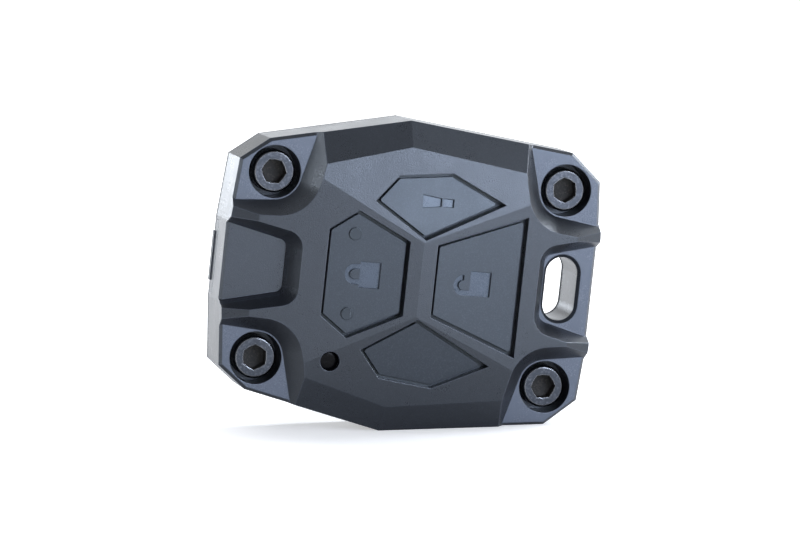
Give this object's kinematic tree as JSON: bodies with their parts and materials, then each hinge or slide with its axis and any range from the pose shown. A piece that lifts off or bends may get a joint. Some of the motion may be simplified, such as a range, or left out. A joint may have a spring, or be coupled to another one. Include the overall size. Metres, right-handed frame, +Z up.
{
  "type": "key fob",
  "caption": "Rugged key fob: faceted black shell with scooped corners, socket head screws, button pads with raised icons, an indicator window and a key ring slot.",
  "frame": {"origin": "middle of the bounding box, on the ground under the lower edge the fob stands on", "axes": "+X along the length towards the key ring slot, +Y from the buttons to the back face, +Z up"},
  "size_m": [0.0632, 0.0146, 0.05],
  "materials": {
    "housing_plastic": "moulded glass-filled nylon, fine satin",
    "cover_plastic": "moulded glass-filled nylon, fine satin",
    "button_plastic": "fine spark texture",
    "seal_rubber": "matt",
    "keypad_rubber": "matt silicone",
    "screw_steel": "black oxide with a little oil",
    "insert_brass": "turned",
    "board": "solder mask on glass epoxy",
    "switch_plastic": "plain",
    "led_body": "clear lens on white body",
    "pipe_plastic": "smoked clear",
    "cell_steel": "plated",
    "contact_metal": "tin plated phosphor bronze",
    "chip_plastic": "moulded",
    "crystal_can": "plated",
    "passive_body": "glazed",
    "ferrite": "sintered",
    "copper_wire": "enamelled"
  },
  "bodies": {
    "fob": {"front_housing": "housing_plastic", "back_cover": "cover_plastic", "cover_seal": "seal_rubber", "keypad_mat": "keypad_rubber", "cap_screws": "screw_steel", "threaded_inserts": "insert_brass", "circuit_board": "board", "switch_bodies": "switch_plastic", "battery_cradle": "switch_plastic", "indicator_led": "led_body", "light_pipe": "pipe_plastic", "coin_cell": "cell_steel", "positive_contact": "contact_metal", "negative_contact": "contact_metal", "radio_chip": "chip_plastic", "receiver_chip": "chip_plastic", "crystal": "crystal_can", "passive_parts": "passive_body", "antenna_core": "ferrite", "antenna_winding": "copper_wire"},
    "lock_key": {"lock_button": "button_plastic", "lock_key_base": "keypad_rubber", "lock_plunger": "switch_plastic"},
    "unlock_key": {"unlock_button": "button_plastic", "unlock_key_base": "keypad_rubber", "unlock_plunger": "switch_plastic"},
    "panic_key": {"panic_button": "button_plastic", "panic_key_base": "keypad_rubber", "panic_plunger": "switch_plastic"},
    "spare_key": {"spare_button": "button_plastic", "spare_key_base": "keypad_rubber", "spare_plunger": "switch_plastic"}
  },
  "joints": [
    {"name": "lock_press", "type": "slide", "parent": "fob", "child": "lock_key", "axis": [0, 1, 0], "range_m": [0, 0.0004], "stiffness_N_per_m": 4000, "springref_m": -0.0003},
    {"name": "unlock_press", "type": "slide", "parent": "fob", "child": "unlock_key", "axis": [0, 1, 0], "range_m": [0, 0.0004], "stiffness_N_per_m": 4000, "springref_m": -0.0003},
    {"name": "panic_press", "type": "slide", "parent": "fob", "child": "panic_key", "axis": [0, 1, 0], "range_m": [0, 0.0004], "stiffness_N_per_m": 4000, "springref_m": -0.0003},
    {"name": "spare_press", "type": "slide", "parent": "fob", "child": "spare_key", "axis": [0, 1, 0], "range_m": [0, 0.0004], "stiffness_N_per_m": 4000, "springref_m": -0.0003}
  ]
}
